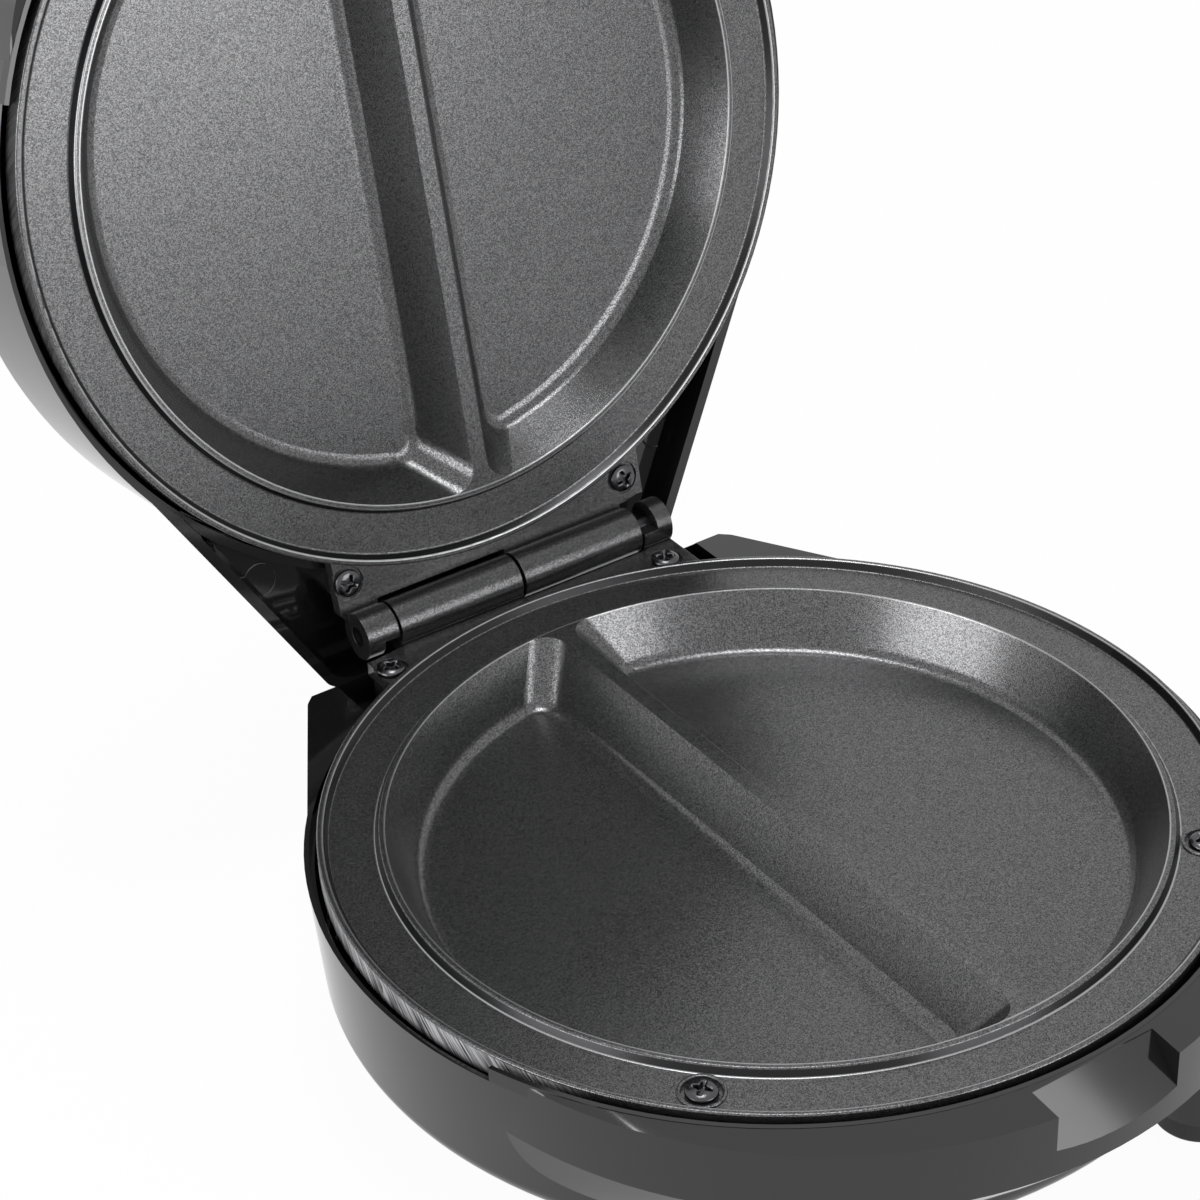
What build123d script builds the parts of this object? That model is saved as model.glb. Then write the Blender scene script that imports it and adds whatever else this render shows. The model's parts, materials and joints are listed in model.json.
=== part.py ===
from build123d import *
import os
from math import cos, radians, sin, tan

os.makedirs("parts", exist_ok=True)

# Whole appliance, in millimetres. The origin lies on the table under the middle of the open appliance.
rim_height = 52.0        # rim of the lower plate above the table
plates_y = -41.4         # centre of the lower plate
open_angle = 101.5       # how far the lid stands open

# Cooking plates, both of one section
plate_radius = 102.5
rim_flat = 1.4           # width of the flat top of the outer rim
rim_slope = 1.2          # width of the slope inside it
flange_drop = 1.8        # flange below the rim and the lip
flange_width = 10.3     # flat between the rim's slope and the lip's outer wall
lip_slope = 1.05         # how far the lip's outer wall spreads below
lip_width = 1.3          # top of the lip, from its outer edge to the pockets' mouth
pocket_depth = 13.5
wall_lean = 6.85         # how far the pocket wall comes in on its way down
ridge_crest = 2.0        # half width of the ridge between the pockets, at the top
ridge_foot = 9.7         # and at the pocket floor
pocket_corner = 6.0
pocket_fillet = 4.0
edge_rounding = 0.5      # on every corner from the lip outwards
plate_wall = 3.0
skirt_height = 6.0
skirt_wall = 3.0
groove_top = 5.5         # hollow under the ridge ends this far below the rim

# Hinge, measured from a plate's centre and rim
hinge_overhang = 9.9     # hinge's axis behind the plate's rim
hinge_rise = 1.0
hinge_shift = 3.0        # hinge's middle, to the right of the plates' middle
barrel_radius = 6.0
barrel_length = 34.9
barrel_gap = 0.5         # half the gap between the two barrels
lug_length = 8.5
lug_gap = 0.8
lug_notch = 4.2
lug_notch_rise = 1.2
knuckle_clearance = 0.5
pin_radius = 2.5
pin_running_clearance = 0.05
pin_recess = 0.6
ear_thickness = 3.5
ear_flat = 2.0           # straight rear edge at the left ear's corner

lower_ear_left = 43.6        # the two plates' ears reach this far to each side
lower_ear_right = 47.0
upper_ear_left = 45.6
upper_ear_right = 43.6
ear_corner_short = 7.4       # their rear corners lie this far in front of the hinge's axis
ear_corner_long = 5.4

# Plate screws and the places where they go
ear_screw_x = 40.3
ear_screw_setback = 13.1     # in front of the hinge's axis
front_screw_inset = 7.6      # from the plate's edge
front_screw_angle = 45.7     # either side of straight ahead
screw_head_radius = 3.5
screw_head_height = 1.9
head_rounding = 0.45         # share of a pan head's height that is rounded off
screw_shank_radius = 1.75
screw_length = 16.0
screw_hole_clearance = 0.25
screw_seat_radius = 4.3
screw_seat_depth = 0.6
recess_width = 0.9
recess_span = 3.6
recess_depth = 1.3
boss_radius = 4.4
boss_root = 1.1              # bosses run this far into the casing's floor
thread_clearance = 0.05
cut_past = 1.0               # how far a cut runs past the surface it opens

# Casings, both drawn round the plate's centre
casing_reach = 3.1           # casing's rim outside the plate's edge
casing_wall = 2.2
rim_edge_wall = 1.1
rim_edge_height = 3.2
side_rim_drop = 4.0          # casing rim below the plate's rim, at the sides
front_rim_drop = 0.5         # and at the front
step_angle = 70.0            # where the rim steps down, either side of straight ahead
chin_narrowing = 5.6         # chin's arc smaller than the casing's by this
chin_shift = 15.5
chin_drop = 1.5
chin_crease = 17.0
chin_belly = 24.0
chin_belly_shift = 8.6
chin_belly_narrowing = 4.7
chin_belly_bite = 1.0        # its underside runs this far into the round body
apron_wall = 2.2
tangent_angle = 30.0         # lean of the rear block's side walls
block_side_inset = 0.8       # and their place inside the round body's tangent
base_depth = 37.0
base_draft = 4.3             # degrees
base_edge = 6.0
base_rear_reach = 5.0        # rear wall behind the plate's edge
base_corner_setback = 6.0    # where the side walls end, in front of the rear wall
base_corner_width = 6.4
base_slope_width = 3.7       # sloping rear edge
base_slope_drop = 3.4
lid_depth = 44.0
lid_draft = 2.0
lid_edge = 8.0
lid_rear_reach = 24.5
lid_corner_setback = 3.0
lid_corner_width = 4.3
lid_block_depth = 22.0       # the lid's rear block is shallower than its round body
lid_block_draft = 16.0
corner_rounding = 4.0
deck_wall = 2.0
hinge_well_width = 106.0     # space sunk below the deck, where ears and hinge lie
hinge_well_drop = 12.0
recess_land = 2.6            # flat wall top between the recess and the side wall

# Front recess in the lower casing
notch_half_width = 16.0
notch_reach = 9.5            # from the chin's front back to the notch's inner edge
notch_top_drop = 1.0
notch_floor_drop = 11.8      # where the sloping face meets the chin's front
notch_wall = 2.4

# Feet
foot_radius = 10.0
foot_height = 6.0
foot_recess_radius = 4.0
foot_recess_depth = 2.0
foot_stem_radius = 3.0
foot_stem_length = 6.0
foot_rounding = 1.2
leg_radius = 11.0
front_foot_inset = 3.3       # feet's centres inside the casing's rim
front_foot_angle = 27.5      # either side of straight ahead
rear_foot_inset = 9.8
rear_foot_angle = 28.7

# Heating elements, their clamps and shields
element_ring_radius = 52.0
element_tube_radius = 3.2
element_gap_angle = 40.0
element_tail_length = 8.0
terminal_radius = 1.5
terminal_length = 4.0
strap_wall = 1.2
strap_width = 10.0
strap_wing = 7.0
clamp_angles = (25, 155, 205, 335)
strap_screw_radius = 1.5
strap_head_radius = 2.8
strap_head_height = 1.6
strap_screw_bite = 1.8
strap_hole_clearance = 0.2
shield_gap = 0.7             # shield clear of the screw bosses
shield_depth = 30.0
shield_wall = 0.6
shield_hole_clearance = 1.6
post_radius = 5.0
post_place = 66.0
post_count = 4

# Thermostat and thermal fuse under the lower plate
thermostat_x = 26.0
thermostat_radius = 8.0
thermostat_height = 7.5
thermostat_cap_radius = 3.5
thermostat_cap_height = 2.0
thermostat_tab_width = 6.3
thermostat_tab_wall = 0.8
thermostat_tab_length = 4.8
thermostat_tab_place = 6.6
fuse_x = -26.0
fuse_radius = 2.0
fuse_length = 18.0
fuse_lead_radius = 0.5
fuse_lead_length = 8.0

# Terminal block and cord inlet in the rear of the lower casing
block_length = 28.0
block_width = 8.5
block_height = 12.0
block_x = -19.0
block_setback = 12.2         # in front of the rear wall
block_ways = 3
block_screw_radius = 1.5
block_wire_radius = 1.6
inlet_x = 20.0
inlet_drop = 24.0
inlet_pad_radius = 11.0
inlet_pad_length = 8.0
inlet_neck_radius = 6.5
inlet_flange_radius = 9.5
inlet_flange_wall = 2.0
inlet_bore_radius = 3.6
fit_clearance = 0.1
clamp_clearance = 0.4        # between the curved tube and its straight strap

# Handle on the front of the lid
handle_root_width = 30.0
handle_tip_width = 46.0
handle_neck = 8.0            # length of the narrow root outside the chin
handle_reach = 38.0
handle_height = 12.0
handle_drop = 3.5
handle_rounding = 3.0
handle_corner = 10.0
handle_screw_spacing = 14.0
handle_screw_radius = 2.0
handle_screw_length = 14.0
handle_screw_head_radius = 3.6
handle_screw_head_height = 2.4

# Indicator lenses and lamps in the lid
lens_spacing = 22.0
lens_y = -62.0
lens_radius = 4.0
lens_flange_radius = 5.5
lens_flange_wall = 1.5
lens_proud = 1.2
lamp_radius = 3.0
lamp_length = 7.0
lamp_sleeve_length = 5.5
lamp_tube_wall = 1.2
lamp_tube_height = 8.0

# Vents in the floor of the lower casing
vent_length = 30.0
vent_width = 2.6
vent_pitch = 7.0
vent_count = 5
vent_place = 30.0

# Values that follow from the sizes above
rim_foot_radius = plate_radius - rim_flat - rim_slope
lip_radius = rim_foot_radius - flange_width - lip_slope
pocket_radius = lip_radius - lip_width
hinge_reach = plate_radius + hinge_overhang
ear_screw_y = hinge_reach - ear_screw_setback
front_screw_radius = plate_radius - front_screw_inset
lower_left_ear = (-lower_ear_left, hinge_reach - ear_corner_short)
lower_right_ear = (lower_ear_right, hinge_reach - ear_corner_long)
upper_left_ear = (-upper_ear_left, hinge_reach - ear_corner_short)
upper_right_ear = (upper_ear_right, hinge_reach - ear_corner_long)
casing_radius = plate_radius + casing_reach
chin_radius = casing_radius - chin_narrowing
chin_belly_radius = casing_radius - chin_belly_narrowing
chin_front_y = -(chin_shift + chin_radius)
notch_inner_y = -chin_front_y - notch_reach
base_rear_y = plate_radius + base_rear_reach
block_y = base_rear_y - block_setback
lip_foot_radius = lip_radius + lip_slope
floor_radius = pocket_radius - wall_lean
wall_slope = wall_lean / pocket_depth
skin_width = plate_wall * (1 + wall_slope**2) ** 0.5
ridge_slope = (ridge_foot - ridge_crest) / pocket_depth
ridge_skin = plate_wall * (1 + ridge_slope**2) ** 0.5
plate_back = pocket_depth + plate_wall
flange_back = flange_drop + plate_wall
ear_back = flange_drop + ear_thickness
pin_bore = pin_radius + pin_running_clearance
knuckle_y = hinge_reach - barrel_radius - knuckle_clearance
lug_inner = barrel_gap + barrel_length + lug_gap
lug_outer = lug_inner + lug_length
well_radius = casing_radius - rim_edge_wall
inner_top = side_rim_drop + rim_edge_height
front_screw_x = front_screw_radius * sin(radians(front_screw_angle))
front_screw_y = -front_screw_radius * cos(radians(front_screw_angle))
ear_screws = [(-ear_screw_x, ear_screw_y), (ear_screw_x, ear_screw_y)]
front_screws = [(-front_screw_x, front_screw_y), (front_screw_x, front_screw_y)]
screw_seat_drop = flange_drop + screw_seat_depth
lid_rear_y = plate_radius + lid_rear_reach
base_rear = (base_rear_y, base_rear_y - base_corner_setback, base_corner_width)
lid_rear = (lid_rear_y, lid_rear_y - lid_corner_setback, lid_corner_width)
base_form = (base_depth, base_draft, base_edge, base_depth, base_draft, base_rear)
lid_form = (lid_depth, lid_draft, lid_edge, lid_block_depth, lid_block_draft, lid_rear)
base_floor = base_depth - casing_wall
lid_floor = lid_depth - casing_wall
leg_drop = rim_height - foot_height
front_foot_x = (casing_radius - front_foot_inset) * sin(radians(front_foot_angle))
front_foot_y = -(casing_radius - front_foot_inset) * cos(radians(front_foot_angle))
rear_foot_x = (casing_radius - rear_foot_inset) * sin(radians(rear_foot_angle))
rear_foot_y = (casing_radius - rear_foot_inset) * cos(radians(rear_foot_angle))
front_feet_places = [(-front_foot_x, front_foot_y), (front_foot_x, front_foot_y)]
rear_feet_places = [(-rear_foot_x, rear_foot_y), (rear_foot_x, rear_foot_y)]
shield_radius = front_screw_radius - boss_radius - shield_gap
ear_root_y = shield_radius + shield_gap
tail_angles = (90 - element_gap_angle / 2, 90 + element_gap_angle / 2)
tail_places = [
    (element_ring_radius * cos(radians(a)), element_ring_radius * sin(radians(a))) for a in tail_angles
]
element_z = -(plate_back + element_tube_radius)
clamp_places = [
    Location(
        (element_ring_radius * cos(radians(a)), element_ring_radius * sin(radians(a)), -plate_back),
        (0, 0, a),
    )
    for a in clamp_angles
]
thermostat_place = Location((thermostat_x, 0, -plate_back), (0, 0, 90))
fuse_place = Location((fuse_x, 0, -plate_back))
clamp_span = element_tube_radius + clamp_clearance + strap_wall + strap_wing / 2
thermostat_span = thermostat_radius + fit_clearance + strap_wall + strap_wing / 2
fuse_span = fuse_radius + fit_clearance + strap_wall + strap_wing / 2
clamp_fixings = [
    place * Location((side, 0, 0)) for place in clamp_places for side in (-clamp_span, clamp_span)
]
thermostat_fixings = [thermostat_place * Location((s, 0, 0)) for s in (-thermostat_span, thermostat_span)]
fuse_fixings = [fuse_place * Location((s, 0, 0)) for s in (-fuse_span, fuse_span)]
lower_fixings = clamp_fixings + thermostat_fixings + fuse_fixings
lens_places = [(-lens_spacing / 2, lens_y), (lens_spacing / 2, lens_y)]
lamp_tube_radius = lens_flange_radius + fit_clearance

# Each half is drawn about its own plate: +Z out of the cooking side, +Y towards the hinge.
lower = Plane(origin=(0, plates_y, rim_height))
closed_upper = Plane(
    origin=(0, plates_y, rim_height + 2 * hinge_rise), x_dir=(-1, 0, 0), z_dir=(0, 0, -1)
)
hinge = Location((0, plates_y + hinge_reach, rim_height + hinge_rise))
upper = Plane(hinge * Rotation(-open_angle, 0, 0) * hinge.inverse() * closed_upper.location)


def pocket_form():
    """The space of one half-moon pocket: a D at the mouth, lofted down to a smaller D."""
    with BuildPart() as pocket:
        for depth, chord, radius in (
            (0, ridge_crest, pocket_radius),
            (pocket_depth, ridge_foot, floor_radius),
        ):
            with BuildSketch(Plane.XY.offset(-depth)) as outline:
                Circle(radius)
                with Locations((chord, 0)):
                    Rectangle(
                        2 * radius + chord,
                        2 * radius,
                        align=(Align.MAX, Align.CENTER),
                        mode=Mode.SUBTRACT,
                    )
                fillet(outline.vertices().sort_by(Axis.X)[:2], pocket_corner)
        loft(ruled=True)
        fillet(pocket.edges().group_by(Axis.Z)[0], pocket_fillet)
    return pocket


def cooking_plate(hinge_x, left_ear, right_ear, notch_turn, fixings):
    """One die-cast plate with its ears, its half of the hinge and its screw holes."""
    with BuildPart() as plate:
        # Section from the middle out: floor blank, lip, flange, rim, skirt, and back by the underside
        with BuildSketch(Plane.XZ) as section:
            with BuildLine():
                Polyline(
                    (0, 0),
                    (lip_radius, 0),
                    (lip_foot_radius, -flange_drop),
                    (rim_foot_radius, -flange_drop),
                    (rim_foot_radius + rim_slope, 0),
                    (plate_radius, 0),
                    (plate_radius, -skirt_height),
                    (plate_radius - skirt_wall, -skirt_height),
                    (plate_radius - skirt_wall, -flange_back),
                    (pocket_radius + skin_width - wall_slope * flange_back, -flange_back),
                    (pocket_radius + skin_width - wall_slope * plate_back, -plate_back),
                    (0, -plate_back),
                    (0, 0),
                )
            make_face()
            fillet(section.vertices().filter_by_position(Axis.X, lip_radius, plate_radius), edge_rounding)
        revolve(axis=Axis.Z)

        # Ear plate behind the rim, trimmed clear of the other plate's knuckles
        with BuildSketch(Plane.XY.offset(-flange_drop)):
            with BuildLine():
                Polyline(
                    (left_ear[0], ear_root_y),
                    left_ear,
                    (left_ear[0] + ear_flat, left_ear[1]),
                    (hinge_x - lug_inner - lug_gap, knuckle_y),
                    (hinge_x - barrel_gap - barrel_length, knuckle_y),
                    (hinge_x - barrel_gap - barrel_length, hinge_reach),
                    (hinge_x - barrel_gap, hinge_reach),
                    (hinge_x - barrel_gap, knuckle_y),
                    (hinge_x + lug_inner, knuckle_y),
                    (hinge_x + lug_inner, hinge_reach),
                    (hinge_x + lug_outer, hinge_reach - barrel_radius / 2),
                    right_ear,
                    (right_ear[0], ear_root_y),
                    (left_ear[0], ear_root_y),
                )
            make_face()
        extrude(amount=-ear_thickness)

        # Barrel and lug round the hinge pin
        with BuildSketch(Plane.YZ.offset(hinge_x - barrel_gap)):
            with Locations((hinge_reach, hinge_rise)):
                Circle(barrel_radius)
        extrude(amount=-barrel_length)
        with BuildSketch(Plane.YZ.offset(hinge_x + lug_inner)):
            with Locations((hinge_reach, hinge_rise)):
                Circle(barrel_radius)
        extrude(amount=lug_length)
        with BuildSketch(Plane.YZ.offset(hinge_x + lug_inner)):
            with Locations(Location((hinge_reach, hinge_rise, 0), (0, 0, notch_turn))):
                with Locations((0, lug_notch_rise)):
                    Rectangle(2 * barrel_radius + cut_past, barrel_radius, align=(Align.CENTER, Align.MIN))
        extrude(amount=lug_notch, mode=Mode.SUBTRACT)

        # One bore for the pin through barrel and lug
        with BuildSketch(Plane.YZ.offset(hinge_x - barrel_gap - barrel_length)):
            with Locations((hinge_reach, hinge_rise)):
                Circle(pin_bore)
        extrude(amount=barrel_gap + barrel_length + lug_outer, mode=Mode.SUBTRACT)

        # Two half-moon pockets and the hollow under the ridge between them
        add(pocket_form(), mode=Mode.SUBTRACT)
        add(mirror(pocket_form().part, about=Plane.YZ, mode=Mode.PRIVATE), mode=Mode.SUBTRACT)
        with BuildSketch(Plane.XZ):
            with BuildLine():
                Polyline(
                    (-(ridge_foot + ridge_slope * plate_wall - ridge_skin), -plate_back),
                    (-(ridge_crest + ridge_slope * groove_top - ridge_skin), -groove_top),
                    (ridge_crest + ridge_slope * groove_top - ridge_skin, -groove_top),
                    (ridge_foot + ridge_slope * plate_wall - ridge_skin, -plate_back),
                    close=True,
                )
            make_face()
        extrude(amount=floor_radius - plate_wall, both=True, mode=Mode.SUBTRACT)

        # Screw holes, each in a shallow round seat
        with Locations(*[(x, y, -flange_drop) for x, y in ear_screws + front_screws]):
            CounterBoreHole(
                screw_shank_radius + screw_hole_clearance,
                screw_seat_radius,
                screw_seat_depth,
                depth=ear_thickness + cut_past,
            )

        # Blind holes in the back for the strap screws
        with Locations(*fixings):
            Cylinder(
                strap_screw_radius + thread_clearance,
                strap_screw_bite + thread_clearance,
                align=(Align.CENTER, Align.CENTER, Align.MIN),
                mode=Mode.SUBTRACT,
            )
    return plate


def rear_outline(inset, rear_y, corner_y, corner_width):
    """Plan of the tapering block behind a casing's round body, drawn in by the inset."""
    radius = casing_radius - block_side_inset - inset
    lean = radians(tangent_angle)
    side_x = radius * cos(lean)
    side_y = radius * sin(lean)
    turn_y = corner_y - inset / 2
    turn_x = side_x - (turn_y - side_y) * tan(lean)
    with BuildSketch() as outline:
        with BuildLine():
            Polyline(
                (-side_x, side_y),
                (-turn_x, turn_y),
                (corner_width - turn_x, rear_y - inset),
                (turn_x - corner_width, rear_y - inset),
                (turn_x, turn_y),
                (side_x, side_y),
                close=True,
            )
        make_face()
        fillet(outline.vertices().filter_by_position(Axis.Y, turn_y, rear_y), corner_rounding)
    return outline


def round_body(inset, depth, draft, edge, top):
    """The round part of a casing, drawn in by the inset."""
    with BuildPart() as body:
        with BuildSketch(Plane.XY.offset(-top)):
            Circle(casing_radius - inset)
        extrude(amount=top - depth + inset, taper=draft)
        fillet(body.edges().group_by(Axis.Z)[0], edge)
    return body


def rear_block(inset, depth, draft, rear, top):
    """The block behind it, drawn in by the inset."""
    with BuildPart() as block:
        with BuildSketch(Plane.XY.offset(-top)):
            add(rear_outline(inset, *rear))
        extrude(amount=top - depth + inset, taper=draft)
    return block


def casing_form(inset, depth, draft, edge, block_depth, block_draft, rear, top, chin_top):
    """A casing's outer form or, with an inset, the space inside it."""
    belly_bottom = depth - inset - edge
    with BuildPart() as form:
        add(round_body(inset, depth, draft, edge, top))
        add(rear_block(inset, block_depth, block_draft, rear, top))
        # Chin at the front: upright down to its crease, then turning in under the body
        with BuildSketch(Plane.XY.offset(-chin_crease)):
            with Locations((0, -chin_shift)):
                Circle(chin_radius - inset)
        extrude(amount=chin_crease - chin_top)
        with BuildSketch(Plane.XY.offset(-chin_crease)):
            with Locations((0, -chin_shift)):
                Circle(chin_radius - inset)
        with BuildSketch(Plane.XY.offset(-chin_belly)):
            with Locations((0, -chin_belly_shift)):
                Circle(chin_belly_radius - inset)
        with BuildSketch(Plane.XY.offset(-belly_bottom)):
            Circle(casing_radius - inset - (belly_bottom - top) * tan(radians(draft)) - chin_belly_bite)
        loft()
    return form


def front_sector(top, bottom):
    """A wedge of space in front of the two steps in the casing's rim."""
    reach = 2 * casing_radius
    side_x = reach * sin(radians(step_angle))
    side_y = -reach * cos(radians(step_angle))
    with BuildPart() as sector:
        with BuildSketch(Plane.XY.offset(-bottom)):
            with BuildLine():
                Polyline(
                    (0, 0),
                    (-side_x, side_y),
                    (-side_x, -reach),
                    (side_x, -reach),
                    (side_x, side_y),
                    close=True,
                )
            make_face()
        extrude(amount=bottom - top)
    return sector


def front_rim():
    """The raised front part of the rim, with the apron that falls from it to the chin."""
    with BuildPart() as rim:
        with BuildSketch(Plane.XY.offset(-side_rim_drop)):
            Circle(casing_radius)
        extrude(amount=side_rim_drop - front_rim_drop)
        with BuildSketch(Plane.XY.offset(-side_rim_drop)):
            with Locations((0, -chin_shift)):
                Circle(chin_radius)
        extrude(amount=side_rim_drop - chin_drop)
        with BuildSketch(Plane.XY.offset(-chin_drop)):
            with Locations((0, -chin_shift)):
                Circle(chin_radius)
        with BuildSketch(Plane.XY.offset(-front_rim_drop)):
            Circle(well_radius + fit_clearance)
        loft(ruled=True)
        add(front_sector(front_rim_drop, side_rim_drop), mode=Mode.INTERSECT)
    return rim


def casing_space(depth, draft, edge, block_depth, block_draft, rear):
    """The space inside a casing, below its thin rim edge."""
    inner = edge - casing_wall / 2
    chin_top = chin_drop + apron_wall
    return casing_form(casing_wall, depth, draft, inner, block_depth, block_draft, rear, inner_top, chin_top)


def casing(depth, draft, edge, block_depth, block_draft, rear):
    """A casing as moulded: form, raised front rim and the space inside."""
    with BuildPart() as shell:
        add(casing_form(0, depth, draft, edge, block_depth, block_draft, rear, side_rim_drop, chin_drop))
        add(front_rim())
        add(casing_space(depth, draft, edge, block_depth, block_draft, rear), mode=Mode.SUBTRACT)
        with BuildSketch(Plane.XY.offset(-inner_top)):
            Circle(well_radius)
        extrude(amount=inner_top, mode=Mode.SUBTRACT)
    return shell


def bosses(floor, block_floor):
    """Round bosses up to the plate's flange and ears, rooted in a casing's floor and the rear block's."""
    with BuildPart() as group:
        for places, top, floor in ((ear_screws, ear_back, block_floor), (front_screws, flange_back, floor)):
            with BuildSketch(Plane.XY.offset(-floor - boss_root)):
                with Locations(*places):
                    Circle(boss_radius)
            extrude(amount=floor + boss_root - top)
    return group


def pilot_holes():
    """The holes down the bosses that take the plate screws."""
    with BuildPart() as group:
        with BuildSketch(Plane.XY.offset(-flange_drop)):
            with Locations(*ear_screws, *front_screws):
                Circle(screw_shank_radius + thread_clearance)
        extrude(amount=-screw_seat_depth - screw_length - cut_past)
    return group


def posts(bottom):
    """Posts on a casing's floor that carry the heat shield."""
    with BuildPart() as group:
        with BuildSketch(Plane.XY.offset(-bottom)):
            with PolarLocations(post_place, post_count, start_angle=45):
                Circle(post_radius)
        extrude(amount=bottom - shield_depth)
    return group


def sunk_form(inset, top, bottom, draft, rear, radius, width):
    """The rear block's form between two depths, outside this radius and within this width."""
    with BuildPart() as form:
        add(rear_block(inset, bottom + inset, draft, rear, side_rim_drop))
        with BuildSketch(Plane.XY.offset(-bottom)):
            with Locations((0, hinge_reach)):
                Rectangle(width, 2 * hinge_reach)
            Circle(radius, mode=Mode.SUBTRACT)
        extrude(amount=bottom - top, mode=Mode.INTERSECT)
    return form


def rear_well(draft, rear, width):
    """The space sunk into the rear block, under the ears and the hinge."""
    return sunk_form(recess_land, side_rim_drop, hinge_well_drop, draft, rear, well_radius, width)


def rear_tray(draft, rear, width):
    """The floor and low walls round that space."""
    bottom = hinge_well_drop + deck_wall
    inner_radius = casing_radius - casing_wall
    with BuildPart() as tray:
        add(sunk_form(casing_wall / 2, inner_top, bottom, draft, rear, inner_radius, width + 2 * deck_wall))
        add(
            sunk_form(recess_land, inner_top, hinge_well_drop, draft, rear, casing_radius, width),
            mode=Mode.SUBTRACT,
        )
    return tray


def pan_screw(head_radius, head_height, shank_radius, length):
    """A pan-head screw with a cross recess, its seat at the origin and its head upwards."""
    with BuildPart() as screw:
        Cylinder(head_radius, head_height, align=(Align.CENTER, Align.CENTER, Align.MIN))
        fillet(screw.edges().group_by(Axis.Z)[-1], head_height * head_rounding)
        for turn in (0, 90):
            with Locations(Location((0, 0, head_height), (0, 0, turn))):
                Box(
                    recess_span * head_radius / screw_head_radius,
                    recess_width,
                    recess_depth,
                    align=(Align.CENTER, Align.CENTER, Align.MAX),
                    mode=Mode.SUBTRACT,
                )
        Cylinder(shank_radius, length, align=(Align.CENTER, Align.CENTER, Align.MAX))
    return screw


def strap(half_width, height):
    """A hat-shaped strap that holds a piece of this half width and height against the plate's back."""
    outer = half_width + strap_wall
    wing = outer + strap_wing
    with BuildPart() as hat:
        with BuildSketch(Plane.XZ):
            with BuildLine():
                Polyline(
                    (-wing, 0),
                    (-wing, -strap_wall),
                    (-outer, -strap_wall),
                    (-outer, -height - strap_wall),
                    (outer, -height - strap_wall),
                    (outer, -strap_wall),
                    (wing, -strap_wall),
                    (wing, 0),
                    (half_width, 0),
                    (half_width, -height),
                    (-half_width, -height),
                    (-half_width, 0),
                    close=True,
                )
            make_face()
        extrude(amount=strap_width / 2, both=True)
        with Locations((-outer - strap_wing / 2, 0, 0), (outer + strap_wing / 2, 0, 0)):
            Hole(strap_screw_radius + strap_hole_clearance, depth=2 * strap_wall)
    return hat


def strap_screws(fixings):
    """Screws through the straps' wings, heads away from the plate's back."""
    screw = pan_screw(strap_head_radius, strap_head_height, strap_screw_radius, strap_wall + strap_screw_bite)
    with BuildPart() as group:
        with Locations(*[place * Location((0, 0, -strap_wall), (180, 0, 0)) for place in fixings]):
            add(screw)
    return group


def element():
    """A tubular heating element: an open ring with its two tails turned down to their terminals."""
    with BuildPart() as tube:
        with BuildSketch(Plane.XZ):
            with Locations((element_ring_radius, element_z)):
                Circle(element_tube_radius)
        revolve(axis=Axis.Z, revolution_arc=360 - element_gap_angle)
    with BuildPart() as whole:
        add(tube, rotation=(0, 0, 90 + element_gap_angle / 2))
        with Locations(*[(x, y, element_z) for x, y in tail_places]):
            Sphere(element_tube_radius)
            Cylinder(
                element_tube_radius, element_tail_length, align=(Align.CENTER, Align.CENTER, Align.MAX)
            )
            Cylinder(
                terminal_radius,
                element_tail_length + terminal_length,
                align=(Align.CENTER, Align.CENTER, Align.MAX),
            )
    return whole


def heat_shield():
    """A shallow sheet-metal pan under the plate, with holes for the element's tails."""
    with BuildPart() as pan:
        with BuildSketch(Plane.XY.offset(-shield_depth)):
            Circle(shield_radius)
        extrude(amount=shield_depth - flange_back)
        with BuildSketch(Plane.XY.offset(-shield_depth + shield_wall)):
            Circle(shield_radius - shield_wall)
        extrude(amount=shield_depth, mode=Mode.SUBTRACT)
        with Locations(*[(x, y, -shield_depth + shield_wall) for x, y in tail_places]):
            Hole(element_tube_radius + shield_hole_clearance, depth=2 * shield_wall)
    return pan


def legs():
    """Short legs under the lower casing, kept out of the space inside it."""
    with BuildPart() as group:
        with BuildSketch(Plane.XY.offset(-leg_drop)):
            with Locations(*front_feet_places, *rear_feet_places):
                Circle(leg_radius)
        extrude(amount=leg_drop - chin_crease)
        add(casing_space(*base_form), mode=Mode.SUBTRACT)
    return group


def recess_block():
    """Solid backing behind the front recess, inside the chin."""
    with BuildPart() as block:
        with BuildSketch(Plane.XY.offset(-notch_floor_drop - notch_wall)):
            with Locations((0, -chin_shift)):
                Circle(chin_radius)
            with Locations((0, -well_radius)):
                Rectangle(
                    2 * (notch_half_width + notch_wall),
                    2 * (chin_radius + chin_shift - notch_inner_y + notch_wall),
                    mode=Mode.INTERSECT,
                )
            Circle(well_radius, mode=Mode.SUBTRACT)
        extrude(amount=notch_floor_drop + notch_wall - chin_drop - apron_wall)
    return block


def front_recess():
    """The wedge of space cut out of the chin's top edge."""
    slope = (notch_floor_drop - notch_top_drop) / (-chin_front_y - notch_inner_y)
    with BuildPart() as wedge:
        with BuildSketch(Plane.YZ):
            with BuildLine():
                Polyline(
                    (-notch_inner_y, -notch_top_drop),
                    (chin_front_y - notch_wall, -notch_floor_drop - slope * notch_wall),
                    (chin_front_y - notch_wall, notch_wall),
                    (-notch_inner_y, notch_wall),
                    close=True,
                )
            make_face()
        extrude(amount=notch_half_width, both=True)
    return wedge


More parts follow.
